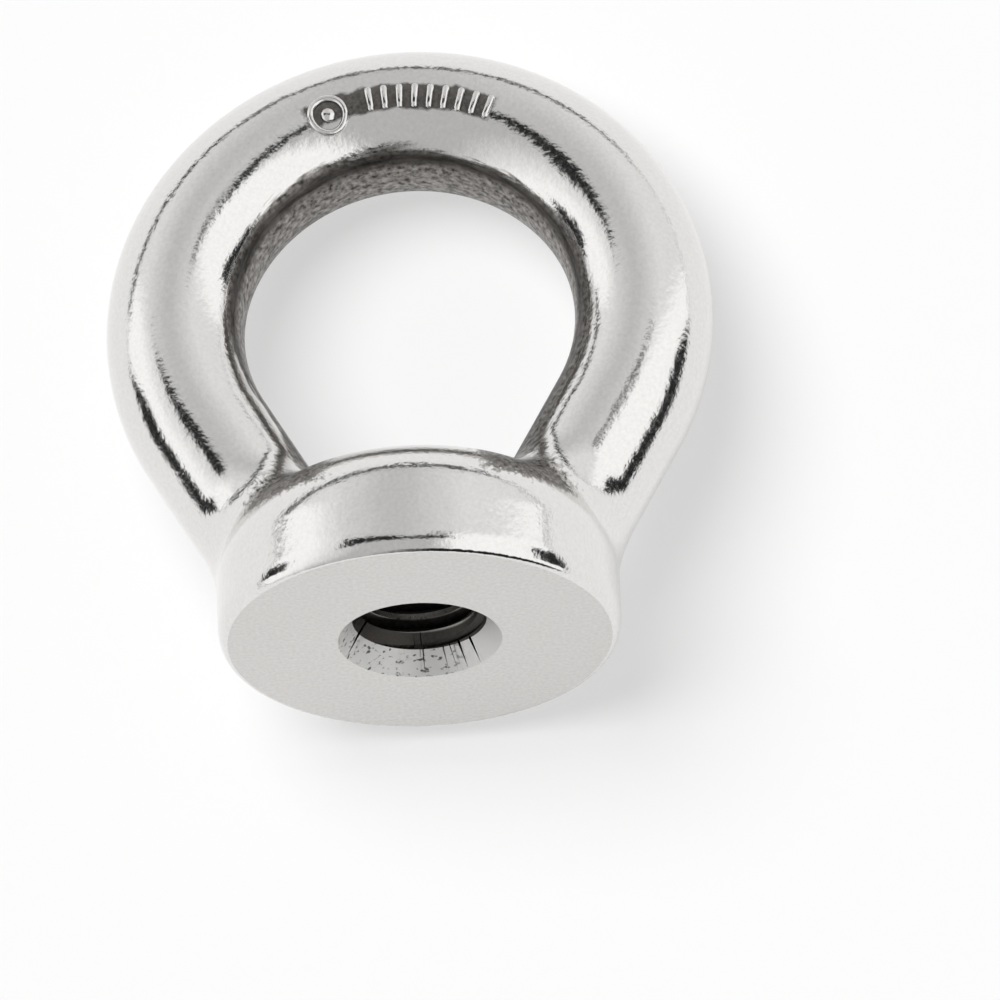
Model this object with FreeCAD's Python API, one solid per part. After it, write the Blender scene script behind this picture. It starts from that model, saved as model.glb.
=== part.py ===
# Lifting eye nut, forged in one piece: a round-section eye on a threaded round base.
# Millimetres and degrees. The origin is the centre of the flat seating face, +Z runs up
# the thread's axis through the eye, and the eye lies in the XZ plane.
import FreeCAD, Part

import math
import os

# Eye: a ring whose lower ends leave the circle as straight legs that lean inwards
EYE_DIAMETER = 24.6
SECTION_DIAMETER = 10.5
EYE_HEIGHT = 26.2
LEG_ANGLE = 29.0

# Crowned band round the inside of the eye, where the forging flash was trimmed off
BAND_WIDTH = 4.4
BAND_TRIM = 0.15

# Base: a round boss with an upright side, a wide round shoulder that runs out level, and a
# small radius at the seating face
BASE_DIAMETER = 30.0
SIDE_HEIGHT = 4.6
SHOULDER_RADIUS = 6.5
SEAT_EDGE_RADIUS = 0.8

# Concave blend that carries the legs into the base
ROOT_RADIUS = 5.0

# Hole for an M10 x 1.5 thread, countersunk at the seating face and eased at the eye
CORE_DIAMETER = 8.5
MOUTH_DIAMETER = 12.2
MOUTH_ANGLE = 65.0
EXIT_DIAMETER = 10.2
EXIT_ANGLE = 90.0

# How near a point lies to a surface that it is taken to be on
ON_SURFACE = 1e-4

section_radius = SECTION_DIAMETER / 2
ring_radius = EYE_DIAMETER / 2 + section_radius
base_radius = BASE_DIAMETER / 2
base_height = SIDE_HEIGHT + SHOULDER_RADIUS
leg_lean = math.radians(LEG_ANGLE)

UP = FreeCAD.Vector(0, 0, 1)
ACROSS = FreeCAD.Vector(0, 1, 0)


def point(x, z):
    """A point of the XZ plane, in which the eye and every profile here is drawn."""
    return FreeCAD.Vector(x, 0, z)


def polar(centre, radius, degrees):
    """The point at that radius and angle about centre."""
    angle = math.radians(degrees)
    return centre + point(radius * math.cos(angle), radius * math.sin(angle))


def mirrored(p):
    """The same point on the left half of the nut."""
    return point(-p.x, p.z)


def line(start, end):
    return Part.makeLine(start, end)


def arc(start, middle, end):
    return Part.Arc(start, middle, end).toShape()


def quarter_arc(centre, radius, start):
    """The quarter of a circle about centre that starts at that angle."""
    return arc(*(polar(centre, radius, start + turn) for turn in (0, 45, 90)))


def revolved(edges):
    """The closed profile of these edges, turned once about the thread's axis."""
    profile = Part.Face(Part.Wire(edges))
    return profile.revolve(point(0, 0), UP, 360)


def arch():
    """Edges of the eye's centreline: up the right leg, over the top, down the left leg."""
    eye_centre = point(0, EYE_HEIGHT)
    hip = polar(eye_centre, ring_radius, -LEG_ANGLE)
    foot_height = base_height / 2
    foot = point(hip.x - (hip.z - foot_height) * math.tan(leg_lean), foot_height)
    over = arc(hip, polar(eye_centre, ring_radius, 90), mirrored(hip))
    return [line(foot, hip), over, line(mirrored(hip), mirrored(foot))]


def eye_section(centre, along):
    """The round section of the eye, with the crowned band on its inner side."""
    inward = along.cross(ACROSS)
    inward.normalize()
    half_band = ACROSS * (BAND_WIDTH / 2)
    border = centre + inward * math.sqrt(section_radius**2 - half_band.Length**2)
    crown = centre + inward * (section_radius - BAND_TRIM)
    outermost = centre - inward * section_radius
    round_side = arc(border + half_band, outermost, border - half_band)
    band_side = arc(border - half_band, crown, border + half_band)
    return Part.Wire([round_side, band_side])


def eye_ring():
    """The section swept up one leg, round the eye and down the other leg into the base."""
    edges = arch()
    start = edges[0].Vertexes[0].Point
    sweep = Part.BRepOffsetAPI.MakePipeShell(Part.Wire(edges))
    sweep.setBiNormalMode(ACROSS)
    sweep.add(eye_section(start, edges[0].tangentAt(0)))
    sweep.build()
    sweep.makeSolid()
    return sweep.shape()


def base_disc():
    """The base before drilling, turned from its half profile."""
    seat_edge_centre = point(base_radius - SEAT_EDGE_RADIUS, SEAT_EDGE_RADIUS)
    shoulder_centre = point(base_radius - SHOULDER_RADIUS, SIDE_HEIGHT)
    return revolved([
        line(point(0, 0), point(seat_edge_centre.x, 0)),
        quarter_arc(seat_edge_centre, SEAT_EDGE_RADIUS, -90),
        line(point(base_radius, SEAT_EDGE_RADIUS), point(base_radius, SIDE_HEIGHT)),
        quarter_arc(shoulder_centre, SHOULDER_RADIUS, 0),
        line(point(shoulder_centre.x, base_height), point(0, base_height)),
        line(point(0, base_height), point(0, 0)),
    ])


def root_edges(body, ring, disc):
    """The edges of body that lie on the skins of both the ring and the disc."""
    found = []
    for edge in body.Edges:
        middle = edge.valueAt((edge.FirstParameter + edge.LastParameter) / 2)
        mark = Part.Vertex(middle)
        on_ring = mark.distToShape(ring.Shells[0])[0] < ON_SURFACE
        on_disc = mark.distToShape(disc.Shells[0])[0] < ON_SURFACE
        if on_ring and on_disc:
            found.append(edge)
    return found


def threaded_hole():
    """Core hole with its countersink at the seating face and its eased edge at the eye."""
    core_radius = CORE_DIAMETER / 2
    mouth_radius = MOUTH_DIAMETER / 2
    exit_radius = EXIT_DIAMETER / 2
    mouth_depth = (mouth_radius - core_radius) / math.tan(math.radians(MOUTH_ANGLE / 2))
    exit_depth = (exit_radius - core_radius) / math.tan(math.radians(EXIT_ANGLE / 2))
    top = base_height + ROOT_RADIUS
    profile = [
        point(0, 0),
        point(mouth_radius, 0),
        point(core_radius, mouth_depth),
        point(core_radius, base_height - exit_depth),
        point(exit_radius, base_height),
        point(exit_radius, top),
        point(0, top),
    ]
    return revolved([line(a, b) for a, b in zip(profile, profile[1:] + profile[:1])])


def eye_nut():
    """The whole forging, blended and drilled."""
    ring = eye_ring()
    disc = base_disc()
    blank = ring.fuse(disc).removeSplitter().Solids[0]
    forging = blank.makeFillet(ROOT_RADIUS, root_edges(blank, ring, disc))
    return forging.cut(threaded_hole()).removeSplitter().Solids[0]


os.makedirs("parts", exist_ok=True)
eye_nut().exportStep("parts/eye_nut.step")
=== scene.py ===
"""Lifting eye nut, forged in one piece of stainless steel, polished bright and tapped M10.

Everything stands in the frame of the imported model: metres, the origin at the centre of the
flat seat, +Z up the thread's axis and the eye in the XZ plane. The steel is one closed mesh.
It is drawn from the distance to its skin, a formula that holds the sizes of the forging, so
the blends between the legs and the base come out as smooth as those of a die.
"""
from __future__ import annotations

import logging
import math
from dataclasses import dataclass, replace
from enum import Enum
from typing import Any, Mapping, Optional, Union

import bpy
from mathutils import Matrix, Vector


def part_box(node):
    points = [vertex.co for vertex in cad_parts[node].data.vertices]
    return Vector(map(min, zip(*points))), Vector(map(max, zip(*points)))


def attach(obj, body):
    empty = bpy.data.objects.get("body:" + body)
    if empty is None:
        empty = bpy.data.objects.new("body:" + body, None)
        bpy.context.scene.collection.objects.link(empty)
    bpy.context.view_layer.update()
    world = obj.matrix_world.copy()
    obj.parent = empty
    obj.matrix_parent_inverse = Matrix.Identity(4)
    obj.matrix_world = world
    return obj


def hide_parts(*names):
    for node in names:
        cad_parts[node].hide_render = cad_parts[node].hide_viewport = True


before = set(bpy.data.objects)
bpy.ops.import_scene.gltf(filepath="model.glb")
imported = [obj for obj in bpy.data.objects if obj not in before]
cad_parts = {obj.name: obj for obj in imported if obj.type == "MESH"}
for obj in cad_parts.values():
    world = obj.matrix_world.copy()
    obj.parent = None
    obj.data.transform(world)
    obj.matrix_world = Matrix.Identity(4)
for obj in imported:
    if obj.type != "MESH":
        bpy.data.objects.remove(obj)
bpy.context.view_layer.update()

log = logging.getLogger("eye_nut")

MM = 0.001
NODE = "eye_nut"
BODY = "root"


@dataclass(frozen=True)
class Quantity:
    """A number that a node tree works out; arithmetic on it adds Math nodes to the tree."""

    tree: bpy.types.NodeTree
    socket: bpy.types.NodeSocket

    def worked(self, operation: str, first: "Operand", second: "Operand" = 0.0) -> "Quantity":
        """The result of one Math node on two operands."""
        settings = {"operation": operation}
        node = add_node(self.tree, "ShaderNodeMath", settings, {0: first, 1: second})
        return Quantity(self.tree, node.outputs[0])

    def __add__(self, other: "Operand") -> "Quantity":
        """This number plus another."""
        return self.worked("ADD", self, other)

    def __sub__(self, other: "Operand") -> "Quantity":
        """This number less another."""
        return self.worked("SUBTRACT", self, other)

    def __rsub__(self, other: "Operand") -> "Quantity":
        """Another number less this one."""
        return self.worked("SUBTRACT", other, self)

    def __mul__(self, other: "Operand") -> "Quantity":
        """This number times another."""
        return self.worked("MULTIPLY", self, other)

    def __truediv__(self, other: "Operand") -> "Quantity":
        """This number divided by another."""
        return self.worked("DIVIDE", self, other)

    def __abs__(self) -> "Quantity":
        """The number without its sign."""
        return self.worked("ABSOLUTE", self)

    def root(self) -> "Quantity":
        """The square root."""
        return self.worked("SQRT", self)

    def sine(self) -> "Quantity":
        """The sine of an angle in radians."""
        return self.worked("SINE", self)

    def cosine(self) -> "Quantity":
        """The cosine of an angle in radians."""
        return self.worked("COSINE", self)

    def direction(self, along: "Operand") -> "Quantity":
        """The angle whose opposite side is this number and whose near side is another."""
        return self.worked("ARCTAN2", self, along)

    def risen(self, low: float, high: float) -> "Quantity":
        """0 up to one value, 1 from another on, and a straight rise between."""
        return ((self - low) / (high - low)).largest(0.0).least(1.0)

    def largest(self, other: "Operand") -> "Quantity":
        """The larger of the two."""
        return self.worked("MAXIMUM", self, other)

    def least(self, other: "Operand") -> "Quantity":
        """The smaller of the two."""
        return self.worked("MINIMUM", self, other)

    def above(self, other: "Operand") -> "Quantity":
        """1 where this number is the larger, else 0."""
        return self.worked("GREATER_THAN", self, other)

    def chosen(self, where_one: "Quantity", where_zero: "Quantity") -> "Quantity":
        """Takes this number as a 0 or 1 and gives one of two others."""
        return where_zero + (where_one - where_zero) * self


Operand = Union[float, Quantity]


@dataclass(frozen=True)
class Point:
    """A place in a node tree, as its three coordinates."""

    x: Quantity
    y: Quantity
    z: Quantity


def length(a: Quantity, b: Quantity) -> Quantity:
    """The length of a plane vector with these two components."""
    return (a * a + b * b).root()


def split(tree: bpy.types.NodeTree, vector: bpy.types.NodeSocket) -> Point:
    """The three coordinates of a vector socket."""
    apart = add_node(tree, "ShaderNodeSeparateXYZ", None, {"Vector": vector})
    return Point(*(Quantity(tree, apart.outputs[axis]) for axis in "XYZ"))


def component(
    tree: bpy.types.NodeTree,
    vector: bpy.types.NodeSocket,
    axis: Union[Vector, bpy.types.NodeSocket],
) -> Quantity:
    """The part of a vector that runs along a unit vector."""
    settings = {"operation": "DOT_PRODUCT"}
    dot = add_node(tree, "ShaderNodeVectorMath", settings, {0: vector, 1: axis})
    return Quantity(tree, dot.outputs["Value"])


def add_node(
    tree: bpy.types.NodeTree,
    kind: str,
    settings: Optional[Mapping[str, Any]] = None,
    inputs: Optional[Mapping[Union[int, str], Any]] = None,
) -> bpy.types.Node:
    """Add one node to a tree.

    Args:
        tree: The tree that takes the node.
        kind: The node's type name.
        settings: Its properties and their values.
        inputs: Its inputs, by name or place, each with a socket, a Quantity, a plain value or,
            where it takes several, a list of sockets.

    Returns:
        The new node.
    """
    node = tree.nodes.new(kind)
    for name, value in (settings or {}).items():
        setattr(node, name, value)
    for key, value in (inputs or {}).items():
        for source in value if isinstance(value, list) else [value]:
            source = source.socket if isinstance(source, Quantity) else source
            if isinstance(source, bpy.types.NodeSocket):
                tree.links.new(source, node.inputs[key])
            else:
                node.inputs[key].default_value = source
    return node


def linear(code: str) -> tuple[float, float, float, float]:
    """An sRGB hex colour, #RRGGBB, as the opaque linear colour that a socket takes."""
    parts = (int(code[place:place + 2], 16) / 255 for place in (1, 3, 5))
    red, green, blue = (
        part / 12.92 if part <= 0.04045 else ((part + 0.055) / 1.055) ** 2.4 for part in parts)
    return red, green, blue, 1.0


class Sizes:
    """Named sizes of the forging, the inputs of every tree that draws it."""

    def __init__(self, low: Vector, high: Vector) -> None:
        """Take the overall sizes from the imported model's box and add those that it hides.

        Args:
            low: The box's lowest corner.
            high: The box's highest corner.
        """
        section = 10.5 * MM
        self.values: dict[str, float] = {
            "Eye height": high.z - high.x,
            "Ring radius": high.x - section / 2,
            "Section radius": section / 2,
            "Leg lean": math.radians(29.0),
            "Band width": 4.4 * MM,
            "Band trim": 0.15 * MM,
            "Base radius": high.y,
            "Side height": 4.6 * MM,
            "Shoulder radius": 6.5 * MM,
            "Seat edge width": 0.7 * MM,
            "Seat edge height": 1.55 * MM,
            "Root radius": 5.0 * MM,
        }
        self.low = low
        self.high = high

    def __getitem__(self, name: str) -> float:
        """One size, by its name."""
        return self.values[name]

    @property
    def base_height(self) -> float:
        """The height of the base's level top."""
        return self["Side height"] + self["Shoulder radius"]

    def declare(self, tree: bpy.types.NodeTree) -> dict[str, Quantity]:
        """Add every size to a tree as a named input with its value as the default.

        Args:
            tree: The tree.

        Returns:
            The tree's own sizes, by name.
        """
        for name, value in self.values.items():
            socket = tree.interface.new_socket(
                name=name, in_out="INPUT", socket_type="NodeSocketFloat")
            socket.subtype = "ANGLE" if name == "Leg lean" else "DISTANCE"
            socket.default_value = value
        source = add_node(tree, "NodeGroupInput")
        return {name: Quantity(tree, source.outputs[name]) for name in self.values}


@dataclass(frozen=True)
class Draft:
    """A node tree in the making, with the point that it reads and its own named sizes."""

    tree: bpy.types.NodeTree
    place: bpy.types.NodeSocket
    size: Mapping[str, Quantity]


class DistanceField:
    """A node group that gives the distance from a point to a skin, less than nothing inside."""

    title = "distance"
    probe = 0.02 * MM

    def __init__(self, sizes: Sizes) -> None:
        """Build the group with its sizes as inputs.

        Args:
            sizes: The sizes that the formula reads.
        """
        tree = bpy.data.node_groups.new(self.title, "GeometryNodeTree")
        tree.interface.new_socket(
            name="Position", in_out="INPUT", socket_type="NodeSocketVector")
        tree.interface.new_socket(
            name="Distance", in_out="OUTPUT", socket_type="NodeSocketFloat")
        self.tree = tree
        self.size = sizes.declare(tree)
        place = add_node(tree, "NodeGroupInput").outputs["Position"]
        self.draft = Draft(tree, place, self.size)
        skin = self.formula(split(tree, place))
        add_node(tree, "NodeGroupOutput", None, {"Distance": skin})

    def formula(self, at: Point) -> Quantity:
        """The distance at a point, in this group's tree."""
        raise NotImplementedError

    def read(self, draft: Draft) -> Quantity:
        """Use the group in another tree, for the distance from its point to the skin."""
        inputs: dict[Union[int, str], Any] = {"Position": draft.place, **draft.size}
        node = add_node(draft.tree, "GeometryNodeGroup", {"node_tree": self.tree}, inputs)
        return Quantity(draft.tree, node.outputs["Distance"])

    def slope(self, draft: Draft) -> tuple[Quantity, bpy.types.NodeSocket]:
        """Use the group in another tree, for the distance and the direction off the skin.

        Args:
            draft: The tree that needs them.

        Returns:
            The distance, and the socket with the unit vector away from the skin.
        """
        tree, here = draft.tree, self.read(draft)
        rises: dict[Union[int, str], Any] = {}
        for axis in range(3):
            step = tuple(self.probe if other == axis else 0.0 for other in range(3))
            settings = {"operation": "ADD"}
            moved = add_node(tree, "ShaderNodeVectorMath", settings, {0: draft.place, 1: step})
            rises[axis] = self.read(replace(draft, place=moved.outputs[0])) - here
        joined = add_node(tree, "ShaderNodeCombineXYZ", None, rises)
        settings = {"operation": "NORMALIZE"}
        unit = add_node(tree, "ShaderNodeVectorMath", settings, {0: joined.outputs[0]})
        return here, unit.outputs[0]


def into_opening(
    at: Point, eye_height: Operand, ring_radius: Operand, sine: Operand, cosine: Operand
) -> Quantity:
    """How far a point lies from the middle of the eye's bar, towards the opening.

    Args:
        at: The point.
        eye_height: The height of the eye's middle.
        ring_radius: The radius of the bar's bend.
        sine: The sine of the legs' lean.
        cosine: The cosine of the legs' lean.

    Returns:
        The distance in the plane of the eye, less than nothing on the bar's outer side.
    """
    side = abs(at.x)
    up = at.z - eye_height
    from_shoulder = side - ring_radius * cosine
    below_shoulder = up + ring_radius * sine
    along_leg = (from_shoulder * sine + below_shoulder * cosine) * -1.0
    in_from_leg = below_shoulder * sine - from_shoulder * cosine
    in_from_arc = (length(side, up) - ring_radius) * -1.0
    return along_leg.above(0.0).chosen(in_from_leg, in_from_arc)


class EyeRing(DistanceField):
    """The eye: a round bar bent over the opening, with straight legs that lean inwards.

    A slightly flatter band runs round the inside, where the flash of the forging was trimmed.
    """

    title = "eye ring"
    foot_height = 3.5 * MM

    def formula(self, at: Point) -> Quantity:
        """The distance to the bar's skin, with the legs cut off level inside the base."""
        size = self.size
        lean = size["Leg lean"]
        inwards = into_opening(
            at, size["Eye height"], size["Ring radius"], lean.sine(), lean.cosine())
        tube = length(inwards, at.y) - size["Section radius"]
        half_band = size["Band width"] * 0.5
        border = (size["Section radius"] * size["Section radius"] - half_band * half_band).root()
        crown = size["Section radius"] - size["Band trim"]
        rise = crown - border
        crown_radius = (half_band * half_band + rise * rise) / (rise * 2.0)
        band = length(inwards - (crown - crown_radius), at.y) - crown_radius
        return tube.largest(band).largest(self.foot_height - at.z)


class BaseDisc(DistanceField):
    """The base before it is drilled: a round boss with a wide shoulder and an eased seat edge.

    The seat edge is a quarter of an ellipse, worn further up the side than across the seat.
    """

    title = "base disc"
    least_step = 0.001 / MM
    near_corner = 0.01

    def formula(self, at: Point) -> Quantity:
        """The distance to the boss's skin."""
        out = length(at.x, at.y) - self.size["Base radius"]
        upper = at.z.above(self.size["Side height"] * 0.5)
        return upper.chosen(self.shoulder(out, at.z), self.seat_edge(out, at.z))

    def shoulder(self, out: Quantity, height: Quantity) -> Quantity:
        """The distance to the upright side and the round shoulder.

        Args:
            out: How far the point lies outside the side.
            height: Its height above the seat.

        Returns:
            The distance.
        """
        corner = self.size["Shoulder radius"]
        past = out + corner
        high = height - self.size["Side height"]
        rounded = length(past.largest(0.0), high.largest(0.0))
        return rounded + past.largest(high).least(0.0) - corner

    def seat_edge(self, out: Quantity, height: Quantity) -> Quantity:
        """The distance to the seat, its elliptical edge and the upright side.

        Args:
            out: How far the point lies outside the side.
            height: Its height above the seat.

        Returns:
            The distance, near the skin.
        """
        wide = self.size["Seat edge width"]
        tall = self.size["Seat edge height"]
        across = (out + wide).largest(0.0) / wide
        down = (tall - height).largest(0.0) / tall
        share = length(across, down)
        steepness = length(across / wide, down / tall)
        inside = out.largest(height * -1.0)
        eased = share * (share - 1.0) / steepness.largest(self.least_step)
        return share.above(self.near_corner).chosen(eased, inside)


class Forging(DistanceField):
    """The eye and the base in one, with a rolling blend of constant radius between them."""

    title = "forging"
    least_turn = 0.03

    def __init__(self, sizes: Sizes) -> None:
        """Build the two skins, then the group that blends them.

        Args:
            sizes: The sizes of the forging.
        """
        self.ring = EyeRing(sizes)
        self.disc = BaseDisc(sizes)
        super().__init__(sizes)

    def formula(self, at: Point) -> Quantity:
        """The distance to the nearer skin, or to the ball that rolls between the two."""
        to_ring, off_ring = self.ring.slope(self.draft)
        to_disc, off_disc = self.disc.slope(self.draft)
        agree = component(self.tree, off_ring, off_disc)
        radius = self.size["Root radius"]
        ring_gap = radius - to_ring
        disc_gap = radius - to_disc
        turn = (1.0 - agree * agree).largest(self.least_turn)
        ring_share = ring_gap - agree * disc_gap
        disc_share = disc_gap - agree * ring_gap
        square = (ring_gap * ring_share + disc_gap * disc_share) / turn
        ball = radius - square.largest(0.0).root()
        nearer = to_ring.least(to_disc)
        between = ring_share.above(0.0) * disc_share.above(0.0)
        within = ring_gap.above(0.0) * disc_gap.above(0.0)
        on_show = at.z.above(self.ring.foot_height)
        return (between * within * on_show).chosen(ball.least(nearer), nearer)


class Joining(Enum):
    """How a solid is joined to the one that is being made."""

    CUT = "DIFFERENCE"
    ADD = "UNION"


@dataclass(frozen=True)
class ThreadedHole:
    """The M10 x 1.5 hole: countersunk at the seat, threaded, and eased where it meets the eye.

    The turn of the cones keeps the corners of their facets off those of the thread's steps.
    """

    exit_height: float
    crest_radius: float = 4.25 * MM
    root_radius: float = 5.0 * MM
    pitch: float = 1.5 * MM
    flank: float = math.radians(30.0)
    mouth_radius: float = 6.1 * MM
    mouth_half_angle: float = math.radians(32.5)
    exit_radius: float = 5.1 * MM
    clear_height: float = 16.0 * MM
    overlap: float = 0.05 * MM
    round_steps: int = 144
    frustum_turn: float = math.radians(0.9)

    def frustum(
        self,
        tree: bpy.types.NodeTree,
        low: float,
        high: float,
        radius_low: float,
        radius_high: float,
    ) -> bpy.types.NodeSocket:
        """A solid cone between two heights on the axis.

        Args:
            tree: The tree that takes it.
            low: Its lower height.
            high: Its upper height.
            radius_low: Its radius at the lower height.
            radius_high: Its radius at the upper height.

        Returns:
            The socket with its mesh.
        """
        cone = add_node(tree, "GeometryNodeMeshCone", {"fill_type": "NGON"}, {
            "Vertices": self.round_steps, "Radius Bottom": radius_low,
            "Radius Top": radius_high, "Depth": high - low,
        })
        placed = add_node(tree, "GeometryNodeTransform", None, {
            "Geometry": cone.outputs["Mesh"], "Translation": (0.0, 0.0, low),
            "Rotation": (0.0, 0.0, self.frustum_turn),
        })
        return placed.outputs["Geometry"]

    def bore(self, tree: bpy.types.NodeTree) -> bpy.types.NodeSocket:
        """The plain hole at the root diameter of the thread, from below the seat into the eye."""
        radius = self.root_radius
        return self.frustum(tree, -self.pitch, self.clear_height, radius, radius)

    def ridge(self, tree: bpy.types.NodeTree) -> bpy.types.NodeSocket:
        """The right-handed helical ridge, from below the seat to past the eased edge."""
        low = -self.pitch
        turns = math.ceil((self.exit_height - low) / self.pitch)
        root_flat = self.pitch / 8
        half_width = (self.pitch - root_flat) / 2 + self.overlap * math.tan(self.flank)
        outer = self.root_radius + self.overlap
        half_crest = half_width - (outer - self.crest_radius) * math.tan(self.flank)
        helix = add_node(tree, "GeometryNodeCurveSpiral", None, {
            "Resolution": self.round_steps // 2, "Rotations": float(turns), "Start Radius": outer,
            "End Radius": outer, "Height": turns * self.pitch, "Reverse": False,
        })
        upright = add_node(tree, "GeometryNodeSetCurveNormal", {"mode": "Z_UP"}, {
            "Curve": helix.outputs["Curve"],
        })
        tooth = add_node(tree, "GeometryNodeCurvePrimitiveQuadrilateral", {"mode": "POINTS"}, {
            "Point 1": (0.0, -half_width, 0.0),
            "Point 2": (0.0, half_width, 0.0),
            "Point 3": (outer - self.crest_radius, half_crest, 0.0),
            "Point 4": (outer - self.crest_radius, -half_crest, 0.0),
        })
        swept = add_node(tree, "GeometryNodeCurveToMesh", None, {
            "Curve": upright.outputs["Curve"], "Profile Curve": tooth.outputs["Curve"],
            "Fill Caps": True,
        })
        placed = add_node(tree, "GeometryNodeTransform", None, {
            "Geometry": swept.outputs["Mesh"], "Translation": (0.0, 0.0, low),
        })
        return placed.outputs["Geometry"]

    @property
    def narrow_end(self) -> float:
        """The radius at which the cones end, inside the crests of the thread."""
        return self.crest_radius - self.pitch / 4

    def mouth(self, tree: bpy.types.NodeTree) -> bpy.types.NodeSocket:
        """The countersink at the seat."""
        slope = math.tan(self.mouth_half_angle)
        narrow = self.narrow_end
        high = (self.mouth_radius - narrow) / slope
        low = -2 * self.pitch
        return self.frustum(tree, low, high, self.mouth_radius - low * slope, narrow)

    def eased_edge(self, tree: bpy.types.NodeTree) -> bpy.types.NodeSocket:
        """The cone that eases the edge of the hole in the eye."""
        low = self.exit_height - (self.exit_radius - self.narrow_end)
        return self.frustum(tree, low, self.exit_height, self.narrow_end, self.exit_radius)

    @property
    def mouth_depth(self) -> float:
        """How deep the countersink reaches before it meets the roots of the thread."""
        return (self.mouth_radius - self.root_radius) / math.tan(self.mouth_half_angle)

    def holds(self, at: Point) -> Quantity:
        """1 on the walls of the hole and 0 outside it."""
        lower = (self.exit_height / 2 - at.z).above(0.0)
        limit = lower * (self.mouth_radius - self.exit_radius) + (self.exit_radius + self.overlap)
        return (limit - length(at.x, at.y)).above(0.0) * (self.clear_height - at.z).above(0.0)

    def way_out(self, tree: bpy.types.NodeTree) -> bpy.types.NodeSocket:
        """The round gap that the eased edge leaves in the blends above it."""
        low = self.exit_height - self.overlap
        return self.frustum(tree, low, self.clear_height, self.exit_radius, self.exit_radius)


@dataclass(frozen=True)
class RaisedMarks:
    """Plain marks forged on the front of the eye: a round one and a row of short upright bars.

    They are laid out flat, with x along the bar of the eye, y towards the opening and z off the
    skin, and then bent round the bar.
    """

    relief: float = 0.30 * MM
    round_angle: float = math.radians(108.5)
    round_place: float = 0.95 * MM
    round_radius: float = 1.38 * MM
    round_width: float = 0.28 * MM
    boss_radius: float = 0.60 * MM
    first_bar: float = math.radians(97.2)
    last_bar: float = math.radians(66.4)
    bar_count: int = 9
    bar_place: float = 0.58 * MM
    bar_length: float = 2.05 * MM
    bar_width: float = 0.66 * MM
    bar_spans: int = 4
    fineness: int = 2
    round_steps: int = 48

    def flat(self, tree: bpy.types.NodeTree, bend_radius: float) -> bpy.types.NodeSocket:
        """All marks in their flat layout.

        Args:
            tree: The tree that takes them.
            bend_radius: The radius to the middle of the eye's bar.

        Returns:
            The socket with their closed meshes.
        """
        steps = self.bar_count - 1
        row = add_node(tree, "GeometryNodeMeshLine", {"mode": "OFFSET"}, {
            "Count": self.bar_count,
            "Start Location": (self.first_bar * bend_radius, self.bar_place, 0.0),
            "Offset": ((self.last_bar - self.first_bar) / steps * bend_radius, 0.0, 0.0),
        })
        block = add_node(tree, "GeometryNodeMeshCube", None, {
            "Size": (self.bar_width, self.bar_length, self.relief * 2),
            "Vertices X": 2, "Vertices Y": self.bar_spans + 1, "Vertices Z": 2,
        })
        bar = add_node(tree, "GeometryNodeSubdivisionSurface", None, {
            "Mesh": block.outputs["Mesh"], "Level": self.fineness,
        })
        bars = add_node(tree, "GeometryNodeInstanceOnPoints", None, {
            "Points": row.outputs["Mesh"], "Instance": bar.outputs["Mesh"],
        })
        circle = add_node(tree, "GeometryNodeCurvePrimitiveCircle", {"mode": "RADIUS"}, {
            "Resolution": self.round_steps, "Radius": self.round_radius,
        })
        wire = add_node(tree, "GeometryNodeCurvePrimitiveCircle", {"mode": "RADIUS"}, {
            "Resolution": self.round_steps // 4, "Radius": self.round_width,
        })
        hoop = add_node(tree, "GeometryNodeCurveToMesh", None, {
            "Curve": circle.outputs["Curve"], "Profile Curve": wire.outputs["Curve"],
        })
        boss = add_node(tree, "GeometryNodeMeshUVSphere", None, {
            "Segments": self.round_steps // 2, "Rings": self.round_steps // 4,
            "Radius": self.boss_radius,
        })
        low_boss = add_node(tree, "GeometryNodeTransform", None, {
            "Geometry": boss.outputs["Mesh"], "Scale": (1.0, 1.0, self.relief / self.boss_radius),
        })
        mark = add_node(tree, "GeometryNodeJoinGeometry", None, {
            "Geometry": [hoop.outputs["Mesh"], low_boss.outputs["Geometry"]],
        })
        placed = add_node(tree, "GeometryNodeTransform", None, {
            "Geometry": mark.outputs["Geometry"],
            "Translation": (self.round_angle * bend_radius, self.round_place, 0.0),
        })
        both = add_node(tree, "GeometryNodeJoinGeometry", None, {
            "Geometry": [bars.outputs["Instances"], placed.outputs["Geometry"]],
        })
        real = add_node(tree, "GeometryNodeRealizeInstances", None, {
            "Geometry": both.outputs["Geometry"],
        })
        return real.outputs["Geometry"]

    def bent(self, draft: Draft, bend_radius: float) -> bpy.types.NodeSocket:
        """All marks in their place on the eye.

        Args:
            draft: The tree that takes them.
            bend_radius: The radius to the middle of the eye's bar.

        Returns:
            The socket with their closed meshes.
        """
        tree, size = draft.tree, draft.size
        at = split(tree, draft.place)
        turn = at.x / size["Ring radius"]
        tilt = at.y / size["Section radius"]
        off = at.z + size["Section radius"]
        reach = size["Ring radius"] - off * tilt.sine()
        place = add_node(tree, "ShaderNodeCombineXYZ", None, {
            "X": reach * turn.cosine(), "Y": off * tilt.cosine() * -1.0,
            "Z": reach * turn.sine() + size["Eye height"],
        })
        moved = add_node(tree, "GeometryNodeSetPosition", None, {
            "Geometry": self.flat(tree, bend_radius), "Position": place.outputs[0],
        })
        return moved.outputs["Geometry"]


@dataclass(frozen=True)
class Finish:
    """How a piece of the stainless steel was left by the tool that made it. Some colours also
    hold painted shade, and one a painted highlight.

    The colour is that of a chromium-nickel steel at normal incidence, and the stain is the
    darker one that its pattern mixes in. Grain and swell are the heights of the fine relief and
    of the slower unevenness under it.
    """

    colour: str
    stain: str
    roughness: float
    roughness_spread: float
    grain_height: float
    swell_height: float


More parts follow.
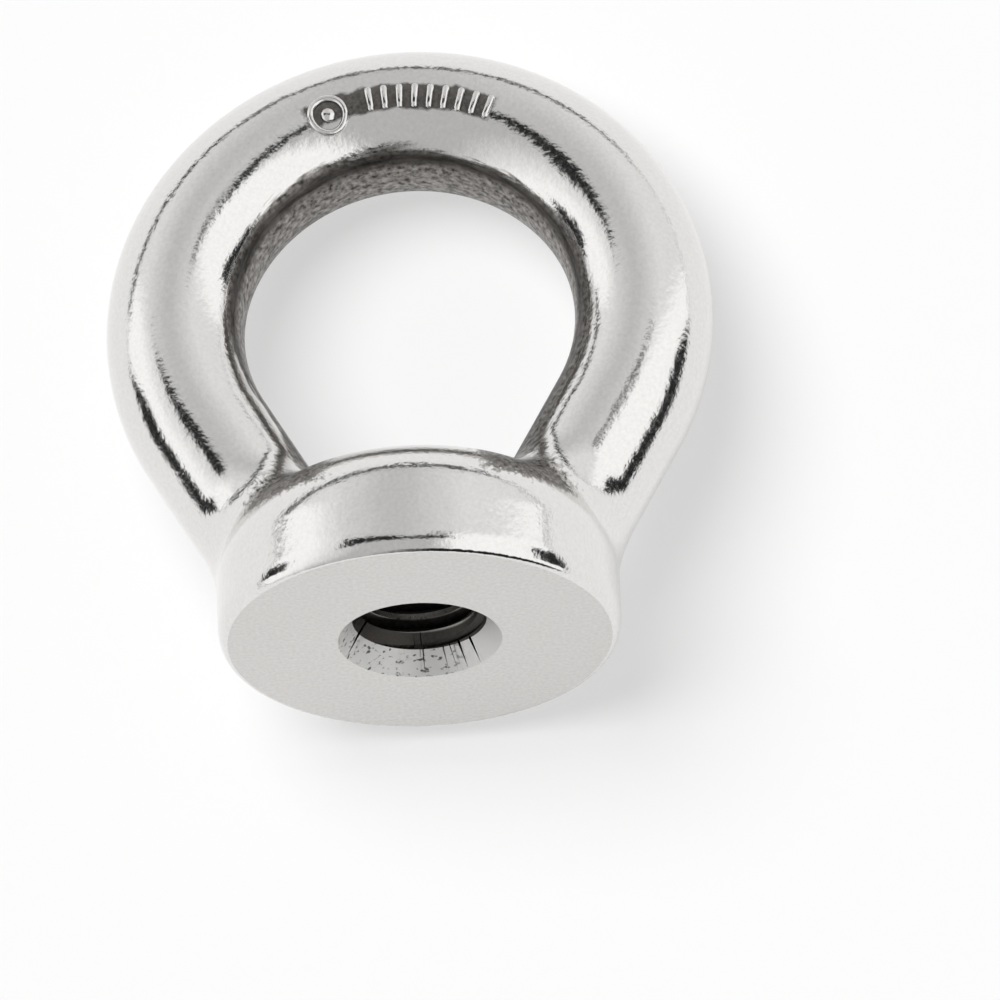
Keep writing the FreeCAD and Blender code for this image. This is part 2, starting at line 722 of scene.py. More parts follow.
# Tumbled and buffed: mirror-bright, with an orange peel that frays the edge of every reflection
# and turns it into grey speckle.
BUFFED = Finish(
    colour="#ECEBE9", stain="#D9D7D5", roughness=0.07, roughness_spread=0.08,
    grain_height=0.012 * MM, swell_height=0.026 * MM,
)

# As it left the forge and the trimming die, out of reach of the buffing wheel: dull, drawn out
# into streaks along the bar. Its dark grey is partly painted: painted shade in the eye's opening
# and in the roots of the legs, and a painted dark reflection between the marks.
AS_FORGED_AND_PAINTED_DARK = Finish(
    colour="#A5A19D", stain="#3C3936", roughness=0.30, roughness_spread=0.22,
    grain_height=0.030 * MM, swell_height=0.050 * MM,
)

# Faced off flat: matt, light grey, with a grain too fine to show turns.
FACED = Finish(
    colour="#E1E0DE", stain="#CBC9C6", roughness=0.36, roughness_spread=0.14,
    grain_height=0.006 * MM, swell_height=0.006 * MM,
)

# Countersunk by a tool that chattered: matt, with short dark ticks across the cone.
CHATTERED = Finish(
    colour="#DAD9D7", stain="#6A6663", roughness=0.50, roughness_spread=0.10,
    grain_height=0.010 * MM, swell_height=0.010 * MM,
)

# Cut by a tap: dark grey, near black in the grooves, which is painted shade inside the deep hole.
THREAD_IN_PAINTED_SHADE = Finish(
    colour="#504D4A", stain="#2A2826", roughness=0.30, roughness_spread=0.20,
    grain_height=0.012 * MM, swell_height=0.004 * MM,
)

# The crests of the thread, lighter than the grooves: a painted highlight where they catch the
# light.
PAINTED_CREST_HIGHLIGHT = Finish(
    colour="#B9B6B2", stain="#8E8B87", roughness=0.25, roughness_spread=0.10,
    grain_height=0.006 * MM, swell_height=0.004 * MM,
)


class SteelMaterial:
    """One material of the stainless steel, whose finish changes from place to place.

    The grain of such a skin is nearer 0.1 mm, too fine to show in the render, so it is drawn as
    coarse as it needs to be seen.
    """

    grain_size = 0.30 * MM
    swell_size = 0.95 * MM
    noise_roughness = 0.55
    middling = (0.3, 0.7)

    def __init__(self, name: str, first: Finish) -> None:
        """Start the material with one finish everywhere.

        Args:
            name: The material's name.
            first: The finish.
        """
        self.material = bpy.data.materials.new(name)
        self.material.use_nodes = True
        self.tree = self.material.node_tree
        self.tree.nodes.clear()
        self.place = add_node(self.tree, "ShaderNodeTexCoord").outputs["Object"]
        self.at = split(self.tree, self.place)
        self.grain = self.noise(self.place, 1 / self.grain_size, 3.0)
        self.swell = self.noise(self.place, 1 / self.swell_size, 2.0)
        self.colour = self.coloured(first, self.grain)
        self.roughness = self.roughened(first)
        self.grain_height: Operand = first.grain_height
        self.swell_height: Operand = first.swell_height

    def noise(self, place: bpy.types.NodeSocket, scale: float, detail: float) -> Quantity:
        """A soft random pattern.

        Args:
            place: The socket with the coordinates.
            scale: How many features go into a metre of them.
            detail: How many finer layers it has.

        Returns:
            The pattern, mostly between 0.3 and 0.7.
        """
        node = add_node(self.tree, "ShaderNodeTexNoise", None, {
            "Vector": place, "Scale": scale, "Detail": detail,
            "Roughness": self.noise_roughness,
        })
        return Quantity(self.tree, node.outputs["Fac"])

    def coloured(self, finish: Finish, share: Quantity) -> bpy.types.NodeSocket:
        """The colour of a finish, from its stain where the share is 0 to its colour at 1."""
        return self.mixed(share, linear(finish.stain), linear(finish.colour))

    def mixed(self, share: Quantity, first: Any, second: Any) -> bpy.types.NodeSocket:
        """A mix of two colours or colour sockets."""
        inputs = {0: share, 6: first, 7: second}
        return add_node(self.tree, "ShaderNodeMix", {"data_type": "RGBA"}, inputs).outputs[2]

    def roughened(self, finish: Finish) -> Quantity:
        """The roughness of a finish, which its grain varies."""
        return self.grain.risen(*self.middling) * finish.roughness_spread + finish.roughness

    def lay(self, finish: Finish, where: Quantity, share: Quantity) -> None:
        """Lay another finish over part of the surface.

        Args:
            finish: The finish.
            where: 1 where it covers and 0 where it doesn't.
            share: The pattern that mixes its stain and its colour.
        """
        self.colour = self.mixed(where, self.colour, self.coloured(finish, share))
        self.roughness = where.chosen(self.roughened(finish), self.roughness)
        uncovered = 1.0 - where
        self.grain_height = where * finish.grain_height + uncovered * self.grain_height
        self.swell_height = where * finish.swell_height + uncovered * self.swell_height

    def finished(self) -> bpy.types.Material:
        """The material, with its relief."""
        slow = add_node(self.tree, "ShaderNodeBump", None, {
            "Height": self.swell, "Distance": self.swell_height, "Strength": 1.0,
        })
        fine = add_node(self.tree, "ShaderNodeBump", None, {
            "Height": self.grain, "Distance": self.grain_height, "Strength": 1.0,
            "Normal": slow.outputs["Normal"],
        })
        shader = add_node(self.tree, "ShaderNodeBsdfPrincipled", None, {
            "Base Color": self.colour, "Metallic": 1.0,
            "Roughness": self.roughness, "Normal": fine.outputs["Normal"],
        })
        add_node(self.tree, "ShaderNodeOutputMaterial", None, {"Surface": shader.outputs["BSDF"]})
        return self.material


class NutSteel(SteelMaterial):
    """The whole nut: buffed, dull with painted shade in the eye and the roots, faced at the seat,
    tapped inside, with painted shade in the thread and a painted highlight on its crests.

    Pairs are the two ends of a soft border. Angles round the bar are taken from its front and
    back towards the opening, and the fray is how far the streaks shift a border.
    """

    streak_length = 3.2 * MM
    streak_width = 0.34 * MM
    streak_contrast = (0.32, 0.66)
    mottle_size = 0.45 * MM
    fray = math.radians(18.0)

    dull = (math.radians(48.0), math.radians(52.0))
    dull_above = (10.7 * MM, 11.05 * MM)
    uneven_twice = math.radians(5.0)
    uneven_once = math.radians(3.0)
    uneven_turn = math.radians(10.0)
    widened_below = (12.4 * MM, 17.0 * MM)
    widened_by = math.radians(16.0)
    # The colour is painted darkest near this angle round the bar, as painted shade inside the
    # opening.
    darkest = math.radians(60.0)
    dark_reach = math.radians(9.0)
    dark_share = 0.75

    # The inner roots of the legs, where the dark colour is painted shade of the crease against
    # the base.
    root_first = (math.radians(23.0), math.radians(28.0))
    root_last = (math.radians(57.0), math.radians(62.0))
    root_low = (7.1 * MM, 7.5 * MM)
    root_high = (10.9 * MM, 12.4 * MM)
    root_fray = 2.0 * MM

    mark_fray = (math.radians(3.0), math.radians(10.0))
    before_bars = 0.03
    past_round = (0.08, 0.11)
    bar_ends = (0.85, 1.1)
    bar_foot = (0.08 * MM, 0.14 * MM)
    # Below 1 it paints the skin between the marks darker, partly as a painted dark reflection.
    mark_lightness = 0.7

    seat_depth = 0.10 * MM
    seat_contrast = (0.25, 0.75)
    tick_size = (0.6 * MM, 0.3 * MM, 0.3 * MM)
    tick_contrast = (0.58, 0.66)
    ticks_end = (1.5 * MM, 3.5 * MM)
    # How deep from the crests the painted highlight reaches.
    crest_depth = 0.10 * MM

    def __init__(self, sizes: Sizes, hole: ThreadedHole, marks: RaisedMarks) -> None:
        """Lay each finish in its place.

        Args:
            sizes: The sizes of the forging.
            hole: The threaded hole.
            marks: The raised marks.
        """
        super().__init__("buffed_forged_stainless_steel", BUFFED)
        self.sizes = sizes
        self.hole = hole
        self.marks = marks
        self.up = self.at.z - sizes["Eye height"]
        lean = sizes["Leg lean"]
        self.inwards = into_opening(
            self.at, sizes["Eye height"], sizes["Ring radius"], math.sin(lean), math.cos(lean))
        self.streaks = self.drawn_streaks()
        self.lay_dull_and_painted_shade()
        self.lay_between_marks()
        self.lay_seat()
        self.lay_hole()

    def drawn_streaks(self) -> Quantity:
        """A pattern drawn out along the bar of the eye."""
        along = self.at.x.direction(self.up) * (self.sizes["Ring radius"] / self.streak_length)
        drawn = add_node(self.tree, "ShaderNodeCombineXYZ", None, {
            "X": along, "Y": self.inwards / self.streak_width, "Z": self.at.y / self.streak_width,
        })
        return self.noise(drawn.outputs[0], 1.0, 3.0)

    def lay_dull_and_painted_shade(self) -> None:
        """The eye's opening side: dull as forged, its dark colour partly painted shade. The legs'
        inner roots: painted shade.
        """
        at = self.at
        loose = self.streaks - 0.5
        section_angle = self.inwards.direction(abs(at.y))
        turn = self.up.direction(at.x)
        uneven = (turn * 2.0 - self.uneven_turn).sine() * self.uneven_twice
        uneven = uneven - turn.cosine() * self.uneven_once
        uneven = uneven - (1.0 - at.z.risen(*self.widened_below)) * self.widened_by
        frayed = section_angle + loose * self.fray - uneven
        in_eye = frayed.risen(*self.dull) * at.z.risen(*self.dull_above)

        # Painted shade of the crease where the inner roots of the legs meet the base.
        azimuth = abs(at.x).direction(at.y * -1.0) + loose * self.fray
        round_base = azimuth.risen(*self.root_first) * (1.0 - azimuth.risen(*self.root_last))
        low = (at.z + loose * self.root_fray).risen(*self.root_low)
        root_painted_shade = round_base * low * (1.0 - at.z.risen(*self.root_high))

        # A band painted darker round the bar near the darkest angle: painted shade inside the
        # opening.
        border = (1.0 - abs(section_angle - self.darkest) / self.dark_reach).largest(0.0)
        mottle = self.noise(self.place, 1 / self.mottle_size, 4.0)
        pattern = border.largest(root_painted_shade).chosen(self.streaks, mottle)
        share = pattern.risen(*self.streak_contrast) * (1.0 - border * self.dark_share)
        # Dull as forged on the opening's side and partly painted shade there; in the roots,
        # painted shade.
        self.lay(AS_FORGED_AND_PAINTED_DARK, in_eye.largest(root_painted_shade), share)

    def lay_between_marks(self) -> None:
        """Leave the skin dull and darker between the marks, which held the buffing wheel off; the
        darkness is partly a painted dark reflection.
        """
        marks = self.marks
        section = self.sizes["Section radius"]
        along, across = self.mark_fray
        turn = self.up.direction(self.at.x) + (self.grain - 0.5) * along
        tilt = self.inwards.direction(self.at.y * -1.0) + (self.swell - 0.5) * across
        first, last = (marks.round_angle + past for past in self.past_round)
        row = turn.risen(marks.last_bar - self.before_bars, marks.last_bar)
        row = row * (1.0 - turn.risen(first, last))
        off_middle = abs(tilt - marks.bar_place / section) / (marks.bar_length / 2 / section)
        held_off_and_painted_dark = row * (1.0 - off_middle.risen(*self.bar_ends))
        off_skin = length(self.inwards, self.at.y) - section
        held_off_and_painted_dark = held_off_and_painted_dark * (1.0 - off_skin.risen(*self.bar_foot))
        # Dull where the marks held the buffing wheel off; its darker colour is partly a painted
        # dark reflection.
        self.lay(AS_FORGED_AND_PAINTED_DARK, held_off_and_painted_dark, self.grain * self.mark_lightness)

    def lay_seat(self) -> None:
        """Face the seat."""
        out = length(self.at.x, self.at.y)
        rim = self.sizes["Base radius"] - self.sizes["Seat edge width"]
        low = (self.seat_depth - self.at.z).above(0.0)
        share = self.grain.risen(*self.seat_contrast)
        self.lay(FACED, low * (rim - out).above(0.0), share)

    def lay_hole(self) -> None:
        """Chatter on the countersink, a dark thread in painted shade and a painted highlight on
        its crests.
        """
        at, hole = self.at, self.hole
        out = length(at.x, at.y)
        stretched = add_node(self.tree, "ShaderNodeVectorMath", {"operation": "DIVIDE"}, {
            0: self.place, 1: self.tick_size,
        })
        ticks = self.noise(stretched.outputs[0], 1.0, 2.0).risen(*self.tick_contrast)
        clear = 1.0 - ticks * (1.0 - at.x.risen(*self.ticks_end))
        in_hole = hole.holds(at)
        self.lay(CHATTERED, in_hole, clear)
        # The thread's near black colour is painted shade of the deep hole.
        deep = (at.z - hole.mouth_depth).above(0.0)
        on_wall = in_hole * deep.largest((hole.root_radius - out).above(0.0))
        self.lay(THREAD_IN_PAINTED_SHADE, on_wall, self.grain)
        # The lighter crests are a painted highlight.
        on_crest = 1.0 - out.risen(hole.crest_radius, hole.crest_radius + self.crest_depth)
        self.lay(PAINTED_CREST_HIGHLIGHT, on_wall * on_crest, self.grain)


class NutBody:
    """The whole nut: the forging drawn from its distance formula, then drilled and tapped."""

    voxel = 0.30 * MM
    margin = 0.75 * MM
    skin_density = 1.0 * MM
    relaxing_rounds = 3
    landing_steps = 2
    soft_edge = math.radians(50.0)

    def __init__(self, sizes: Sizes, hole: ThreadedHole, marks: RaisedMarks) -> None:
        """Keep the parts of the nut, build the formula and start the tree.

        Args:
            sizes: The sizes of the forging, which become the tree's named inputs.
            hole: The threaded hole.
            marks: The marks on the eye.
        """
        self.sizes = sizes
        self.hole = hole
        self.marks = marks
        self.forging = Forging(sizes)
        self.tree = bpy.data.node_groups.new("lifting eye nut", "GeometryNodeTree")
        self.tree.interface.new_socket(
            name="Geometry", in_out="OUTPUT", socket_type="NodeSocketGeometry")
        place = add_node(self.tree, "GeometryNodeInputPosition").outputs["Position"]
        self.draft = Draft(self.tree, place, sizes.declare(self.tree))

    def blank(self) -> bpy.types.NodeSocket:
        """The forging before drilling, as an even mesh that lies on its skin."""
        place = self.draft.place
        low = tuple(value - self.margin for value in self.sizes.low)
        high = tuple(value + self.margin for value in self.sizes.high)
        counts = [round((b - a) / self.voxel) + 1 for a, b in zip(low, high)]
        density = self.skin_density - self.forging.read(self.draft)
        cube = add_node(self.tree, "GeometryNodeVolumeCube", None, {
            "Density": density, "Background": 0.0, "Min": low, "Max": high,
            "Resolution X": counts[0], "Resolution Y": counts[1], "Resolution Z": counts[2],
        })
        skin = add_node(self.tree, "GeometryNodeVolumeToMesh", {"resolution_mode": "GRID"}, {
            "Volume": cube.outputs["Volume"], "Threshold": self.skin_density, "Adaptivity": 0.0,
        })
        mesh = skin.outputs["Mesh"]
        vectors = {"data_type": "FLOAT_VECTOR"}
        for _ in range(self.relaxing_rounds):
            relaxed = add_node(self.tree, "GeometryNodeBlurAttribute", vectors, {
                0: place, "Iterations": 2, "Weight": 1.0,
            })
            eased = add_node(self.tree, "GeometryNodeSetPosition", None, {
                "Geometry": mesh, "Position": relaxed.outputs[0],
            })
            mesh = eased.outputs["Geometry"]
            for _ in range(self.landing_steps):
                mesh = self.landed(mesh)
        return mesh

    def landed(self, mesh: bpy.types.NodeSocket) -> bpy.types.NodeSocket:
        """Move each point of a mesh straight to the skin."""
        distance, outwards = self.forging.slope(self.draft)
        step = add_node(self.tree, "ShaderNodeVectorMath", {"operation": "SCALE"}, {
            0: outwards, "Scale": distance * -1.0,
        })
        moved = add_node(self.tree, "GeometryNodeSetPosition", None, {
            "Geometry": mesh, "Offset": step.outputs[0],
        })
        return moved.outputs["Geometry"]

    def joined(
        self, mesh: bpy.types.NodeSocket, other: bpy.types.NodeSocket, how: Joining
    ) -> bpy.types.NodeSocket:
        """Join two closed meshes.

        Args:
            mesh: The mesh that is being made.
            other: The mesh that is added to it or cut from it.
            how: Which of the two.

        Returns:
            The socket with the result.
        """
        facets = add_node(self.tree, "GeometryNodeTriangulate", None, {"Mesh": other})
        tool = facets.outputs["Mesh"]
        cut = how is Joining.CUT
        inputs = {"Mesh 1": mesh, "Mesh 2": tool} if cut else {"Mesh 2": [tool, mesh]}
        settings = {"operation": how.value, "solver": "MANIFOLD"}
        node = add_node(self.tree, "GeometryNodeMeshBoolean", settings, inputs)
        return node.outputs["Mesh"]

    def tapped(self, mesh: bpy.types.NodeSocket) -> bpy.types.NodeSocket:
        """Drill, thread and countersink a mesh."""
        hole = self.hole
        mesh = self.joined(mesh, hole.bore(self.tree), Joining.CUT)
        mesh = self.joined(mesh, hole.ridge(self.tree), Joining.ADD)
        for tool in (hole.mouth, hole.eased_edge, hole.way_out):
            mesh = self.joined(mesh, tool(self.tree), Joining.CUT)
        return mesh

    def shaded(self, mesh: bpy.types.NodeSocket) -> bpy.types.NodeSocket:
        """Smooth the forged skin and keep the machined edges crisp."""
        forged = 1.0 - self.hole.holds(split(self.tree, self.draft.place))
        angle = add_node(self.tree, "GeometryNodeInputMeshEdgeAngle").outputs["Unsigned Angle"]
        sharp = Quantity(self.tree, angle).above(self.soft_edge)
        smooth = add_node(self.tree, "GeometryNodeSetShadeSmooth", {"domain": "FACE"}, {
            "Geometry": mesh, "Shade Smooth": forged,
        })
        edged = add_node(self.tree, "GeometryNodeSetShadeSmooth", {"domain": "EDGE"}, {
            "Geometry": smooth.outputs["Geometry"], "Selection": sharp, "Shade Smooth": False,
        })
        return edged.outputs["Geometry"]

    def finish_tree(self, steel: bpy.types.Material) -> None:
        """Put the whole nut into the tree.

        Args:
            steel: The material of the nut.
        """
        marks = self.marks.bent(self.draft, self.sizes["Ring radius"])
        blank = self.joined(self.blank(), marks, Joining.ADD)
        real = add_node(self.tree, "GeometryNodeRealizeInstances", None, {
            "Geometry": self.shaded(self.tapped(blank)),
        })
        dressed = add_node(self.tree, "GeometryNodeSetMaterial", None, {
            "Geometry": real.outputs["Geometry"], "Material": steel,
        })
        add_node(self.tree, "NodeGroupOutput", None, {"Geometry": dressed.outputs["Geometry"]})

    def build(self) -> bpy.types.Object:
        """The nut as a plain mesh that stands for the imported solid."""
        self.finish_tree(NutSteel(self.sizes, self.hole, self.marks).finished())
        piece = baked("eye_nut_body", self.tree, self.sizes.values)
        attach(piece, BODY)
        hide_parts(NODE)
        return piece


def baked(name: str, tree: bpy.types.NodeTree, values: Mapping[str, Any]) -> bpy.types.Object:
    """Evaluate a Geometry Nodes tree once and keep its mesh.

    Args:
        name: The name of the piece.
        tree: The tree.
        values: The tree's inputs, by name.

    Returns:
        An object at the origin with the mesh and no modifier.
    """
    carrier = bpy.data.objects.new(name + "_carrier", bpy.data.meshes.new(name + "_carrier"))
    bpy.context.scene.collection.objects.link(carrier)
    modifier = carrier.modifiers.new("nodes", "NODES")
    modifier.node_group = tree
    for item in tree.interface.items_tree:
        if item.item_type == "SOCKET" and item.in_out == "INPUT" and item.name in values:
            modifier[item.identifier] = values[item.name]
    graph = bpy.context.evaluated_depsgraph_get()
    mesh = bpy.data.meshes.new_from_object(carrier.evaluated_get(graph))
    mesh.name = name
    bpy.data.objects.remove(carrier)
    piece = bpy.data.objects.new(name, mesh)
    bpy.context.scene.collection.objects.link(piece)
    return piece


@dataclass(frozen=True)
class Viewpoint:
    """The camera: a long lens that looks up at the seat from a little to the right.

    The place and the direction were found by fitting the outlines of the eye and the base.
    """

    azimuth: float = math.radians(3.82)
    elevation: float = math.radians(-27.6)
    roll: float = math.radians(-1.91)
    distance: float = 1.2
    aim: tuple[float, float, float] = (0.0, 0.0, 0.022)
    picture_width: int = 1000
    pixels_per_metre: float = 13365.0
    aim_pixel: tuple[float, float] = (411.35, 377.4)
    sensor: float = 36.0
    clip: tuple[float, float] = (0.01, 100.0)

    def axes(self) -> tuple[Vector, Vector, Vector]:
        """The picture's right, its up and the way back to the camera, before centring."""
        turn, rise = self.azimuth, self.elevation
        back = Vector((
            math.sin(turn) * math.cos(rise), -math.cos(turn) * math.cos(rise), math.sin(rise)))
        level = Vector((math.cos(turn), math.sin(turn), 0.0))
        upright = back.cross(level)
        right = math.cos(self.roll) * level + math.sin(self.roll) * upright
        up = -math.sin(self.roll) * level + math.cos(self.roll) * upright
        return right, up, back

    def build(self) -> None:
        """Create the camera and make it the scene's."""
        right, up, back = self.axes()
        eye = Vector(self.aim) + back * self.distance
        focal = self.pixels_per_metre * self.distance
        middle = self.picture_width / 2
        across = (middle - self.aim_pixel[0]) / focal
        down = (middle - self.aim_pixel[1]) / focal
        new_back = (back - right * across + up * down).normalized()
        new_right = (right - new_back * right.dot(new_back)).normalized()
        new_up = new_back.cross(new_right)
        data = bpy.data.cameras.new("camera")
        data.sensor_width = self.sensor
        data.lens = focal / self.picture_width * self.sensor
        data.clip_start, data.clip_end = self.clip
        camera = bpy.data.objects.new("camera", data)
        turned = Matrix((new_right, new_up, new_back)).transposed().to_4x4()
        camera.matrix_world = Matrix.Translation(eye) @ turned
        bpy.context.scene.collection.objects.link(camera)
        bpy.context.scene.camera = camera


Ends = tuple[float, float]


@dataclass(frozen=True)
class Tent:
    """The tent of pale cloth round the nut, whose brightness depends on the direction alone.

    Directions are angles about the camera's: east runs to the picture's right, north up. The
    overhead cloth starts at a brow that slants down to both sides, a brighter panel hangs below
    it, and the dark seams, patches and gaps are what buffed steel mirrors as black lines. All
    angles are in degrees, and pairs are the two ends of a soft border or of a span.
    """

    viewpoint: Viewpoint
    paper_normal: Vector
    cloth_level: float = 0.90
    strip_level: float = 0.64
    camera_level: float = 0.57
    panel_level: float = 1.17
    seam_level: float = 0.02
    room_level: float = 0.28
    soft_end: float = 4.0
    brow_height: float = 36.0
    brow_slant: float = 0.2
    brow_border: Ends = (0.0, 8.0)
    dim_from: Ends = (-66.0, -30.0)
    dim_to: Ends = (8.0, 20.0)
    strip_middle: float = -14.0
    strip_border: Ends = (6.0, 42.0)
    seam_span: Ends = (-46.0, 22.0)
    seam_top: float = 0.5
    seam_depth: float = 7.0
    seam_sag: float = 0.516
    leg_span: Ends = (8.0, 21.0)
    leg_height: Ends = (2.0, 11.0)
    south_height: Ends = (-88.0, -33.0)
    south_border: Ends = (-15.0, 5.0)
    low_gap_right: Ends = (-12.0, 34.0)
    low_gap_left: Ends = (-12.0, 22.0)
    low_gap_width: float = 17.0
    high_gap_right: Ends = (84.0, 92.0)
    high_gap_left: Ends = (41.0, 47.0)
    high_gap_width: float = 4.5

    def ramp(self, value: Quantity, ends: Ends) -> Quantity:
        """0 below one angle, 1 above another and a straight rise between."""
        return value.risen(*map(math.radians, ends))

    def between(self, value: Quantity, ends: Ends) -> Quantity:
        """1 between two angles and 0 outside them, with soft ends."""
        low, high = ends
        left = self.ramp(value, (high - self.soft_end, high))
        return self.ramp(value, (low, low + self.soft_end)) * (1.0 - left)

    def cloth(self, east: Quantity, top: Quantity) -> Quantity:
        """The brightness of the cloth and the panel.

        Args:
            east: The angle to the picture's right.
            top: The angle above the brow.

        Returns:
            The brightness.
        """
        dim = self.ramp(east, self.dim_from) * (1.0 - self.ramp(east, self.dim_to))
        off_strip = abs(east - math.radians(self.strip_middle))
        strip = 1.0 - self.ramp(off_strip, self.strip_border)
        lower = dim * (self.camera_level - self.panel_level) + self.panel_level
        upper = strip * (self.strip_level - self.cloth_level) + self.cloth_level
        return self.ramp(top, self.brow_border).chosen(upper, lower)

    def dark_parts(self, east: Quantity, north: Quantity, top: Quantity) -> Quantity:
        """1 in the seams and the dark patches, 0 elsewhere.

        Args:
            east: The angle to the picture's right.
            north: The angle up the picture.
            top: The angle above the brow.

        Returns:
            The mask.
        """
        seam_foot = east * east * -self.seam_sag - math.radians(self.seam_depth)
        seam = (top - seam_foot).above(0.0) * (math.radians(self.seam_top) - top).above(0.0)
        seam = seam * self.between(east, self.seam_span)
        leg = self.between(east, self.leg_span) * self.between(top, self.leg_height)
        south = self.between(north, self.south_height) * self.ramp(east, self.south_border)
        return seam.largest(leg).largest(south)

    def gap(self, above_paper: Quantity, east: Quantity, north: Quantity) -> Quantity:
        """1 in the dark gap between the paper and the tent, 0 elsewhere.

        Args:
            above_paper: The sine of the angle off the paper.
            east: The angle to the picture's right.
            north: The angle up the picture.

        Returns:
            The mask.
        """
        angle = above_paper.worked("ARCSINE", above_paper)
        right = east.above(0.0)
        low = right.chosen(
            self.between(north, self.low_gap_right), self.between(north, self.low_gap_left))
        high = right.chosen(
            self.ramp(north, self.high_gap_right), self.ramp(north, self.high_gap_left))
        low_width = low * math.radians(self.low_gap_width)
        width = low_width + high * math.radians(self.high_gap_width)
        return (width - angle).above(0.0)

    def build(self) -> None:
        """Make the tent the world of the scene.

        The steel mirrors the tent, the camera sees plain white, and matt things are lit by an
        even room.
        """
        world = bpy.data.worlds.new("tent")
        bpy.context.scene.world = world
        world.use_nodes = True
        tree = world.node_tree
        tree.nodes.clear()
        way = add_node(tree, "ShaderNodeTexCoord").outputs["Generated"]
        parts = (component(tree, way, axis) for axis in self.viewpoint.axes())
        across, upward, towards = parts
        angle = towards.worked("ARCCOSINE", towards)
        spread = length(across, upward).largest(0.0001)
        east = angle * across / spread
        north = angle * upward / spread
        top = north - abs(east) * self.brow_slant - math.radians(self.brow_height)
        above_paper = component(tree, way, -self.paper_normal)
        dark = self.dark_parts(east, north, top).largest(self.gap(above_paper, east, north))
        level = dark.chosen(self.seam_level, self.cloth(east, top))
        mirrored, room, white = (
            add_node(tree, "ShaderNodeBackground", None, {
                "Color": (1.0, 1.0, 1.0, 1.0), "Strength": strength,
            }).outputs["Background"]
            for strength in (level, self.room_level, 1.0))
        ray = add_node(tree, "ShaderNodeLightPath")
        lit = add_node(tree, "ShaderNodeMixShader", None, {
            0: ray.outputs["Is Diffuse Ray"], 1: mirrored, 2: room,
        })
        mixed = add_node(tree, "ShaderNodeMixShader", None, {
            0: ray.outputs["Is Camera Ray"], 1: lit.outputs[0], 2: white,
        })
        add_node(tree, "ShaderNodeOutputWorld", None, {"Surface": mixed.outputs[0]})


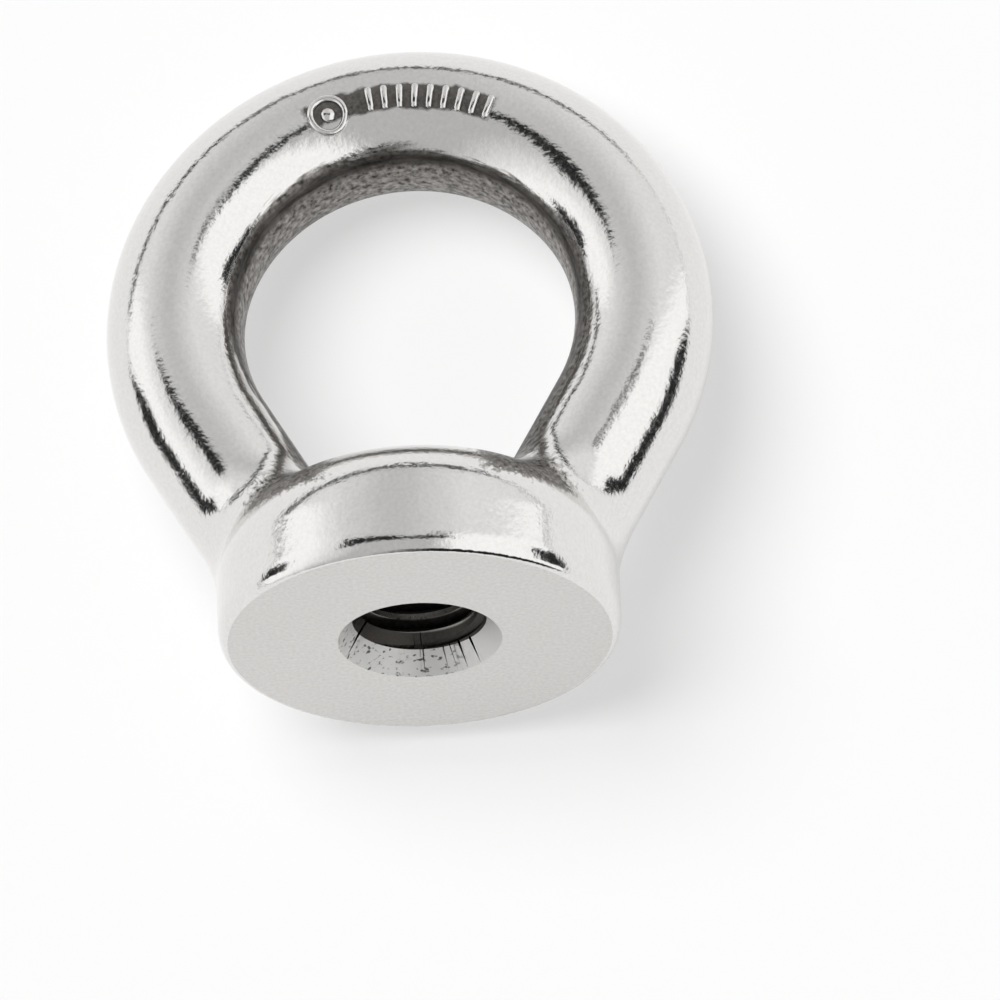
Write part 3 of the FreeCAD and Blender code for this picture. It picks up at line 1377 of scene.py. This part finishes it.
@dataclass(frozen=True)
class Studio:
    """White paper, a soft lamp and a tent of pale cloth round the nut.

    The nut lies on its back on the paper, which touches the top of the eye and the base.
    """

    viewpoint: Viewpoint
    paper_tilt: float = math.radians(14.7)
    paper_reach: float = 16.45 * MM
    paper_size: float = 1.0
    paper_colour: str = "#FBFBFB"
    paper_glow: float = 0.5
    lamp_strength: float = 2.4
    lamp_spread: float = math.radians(40.0)
    lamp_aside: float = 0.5

    @property
    def paper_normal(self) -> Vector:
        """The direction through the paper, away from the nut."""
        return Vector((0.0, math.cos(self.paper_tilt), math.sin(self.paper_tilt)))

    def build(self) -> None:
        """Lay the paper and the floor, hang the lamp and put up the tent."""
        self.lay_paper()
        self.lay_floor()
        self.hang_lamp()
        Tent(self.viewpoint, self.paper_normal).build()

    def sheet(
        self,
        name: str,
        middle: Vector,
        along: Vector,
        across: Vector,
        material: bpy.types.Material,
    ) -> None:
        """A large flat sheet that isn't part of the nut.

        Args:
            name: Its name.
            middle: Its middle.
            along: Half of one side.
            across: Half of the other; along x across is the way that the sheet faces.
            material: Its material.
        """
        signs = ((-1, -1), (1, -1), (1, 1), (-1, 1))
        corners = [middle + along * a + across * b for a, b in signs]
        mesh = bpy.data.meshes.new(name)
        mesh.from_pydata([tuple(corner) for corner in corners], [], [(0, 1, 2, 3)])
        mesh.materials.append(material)
        sheet = bpy.data.objects.new(name, mesh)
        bpy.context.scene.collection.objects.link(sheet)

    def one_sided(self, name: str, seen_by_gloss: bool) -> bpy.types.Material:
        """White paper whose back can't be seen and which stops no light there.

        Args:
            name: The material's name.
            seen_by_gloss: Whether reflections show the sheet as well as the camera.

        Returns:
            The material.
        """
        material = bpy.data.materials.new(name)
        material.use_nodes = True
        tree = material.node_tree
        tree.nodes.clear()
        ray = add_node(tree, "ShaderNodeLightPath")
        side = add_node(tree, "ShaderNodeNewGeometry").outputs["Backfacing"]
        seen = Quantity(tree, ray.outputs["Is Camera Ray"])
        if seen_by_gloss:
            seen = seen.largest(Quantity(tree, ray.outputs["Is Glossy Ray"]))
        shown = seen * (1.0 - Quantity(tree, side))
        clear = add_node(tree, "ShaderNodeBsdfTransparent")
        colour = {"Color": linear(self.paper_colour)}
        sheet = add_node(tree, "ShaderNodeBsdfDiffuse", None, colour)
        glow = add_node(tree, "ShaderNodeEmission", None, colour)
        white = add_node(tree, "ShaderNodeMixShader", None, {
            0: self.paper_glow, 1: sheet.outputs[0], 2: glow.outputs[0],
        })
        mixed = add_node(tree, "ShaderNodeMixShader", None, {
            0: shown, 1: clear.outputs[0], 2: white.outputs[0],
        })
        add_node(tree, "ShaderNodeOutputMaterial", None, {"Surface": mixed.outputs[0]})
        return material

    def lay_paper(self) -> None:
        """The paper at the nut's back, seen almost square on."""
        along = Vector((self.paper_size, 0.0, 0.0))
        across = along.cross(self.paper_normal)
        middle = self.paper_normal * self.paper_reach
        self.sheet("paper", middle, along, across, self.one_sided("white_paper", True))

    def lay_floor(self) -> None:
        """The floor under the seat, for views from above."""
        along = Vector((self.paper_size, 0.0, 0.0))
        across = Vector((0.0, self.paper_size, 0.0))
        paper = self.one_sided("white_floor", False)
        self.sheet("floor", Vector((0.0, 0.0, 0.0)), along, across, paper)

    def hang_lamp(self) -> None:
        """A wide soft lamp to the picture's upper left, which reflections don't show."""
        right, up, back = self.viewpoint.axes()
        towards = (back + (up - right) * self.lamp_aside).normalized()
        data = bpy.data.lights.new("soft_lamp", "SUN")
        data.energy = self.lamp_strength
        data.angle = self.lamp_spread
        lamp = bpy.data.objects.new("soft_lamp", data)
        lamp.rotation_euler = towards.to_track_quat("Z", "Y").to_euler()
        lamp.visible_glossy = False
        bpy.context.scene.collection.objects.link(lamp)


def main() -> None:
    """Build the studio and the nut, and report each piece."""
    logging.basicConfig(level=logging.INFO, format="%(name)s: %(message)s")
    scene = bpy.context.scene
    scene.view_settings.view_transform = "Standard"
    viewpoint = Viewpoint()
    viewpoint.build()
    Studio(viewpoint).build()
    sizes = Sizes(*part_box(NODE))
    body = NutBody(sizes, ThreadedHole(sizes.base_height), RaisedMarks()).build()
    body.data.calc_loop_triangles()
    log.info("%s: %d triangles", body.name, len(body.data.loop_triangles))


if __name__ == "__main__":
    main()
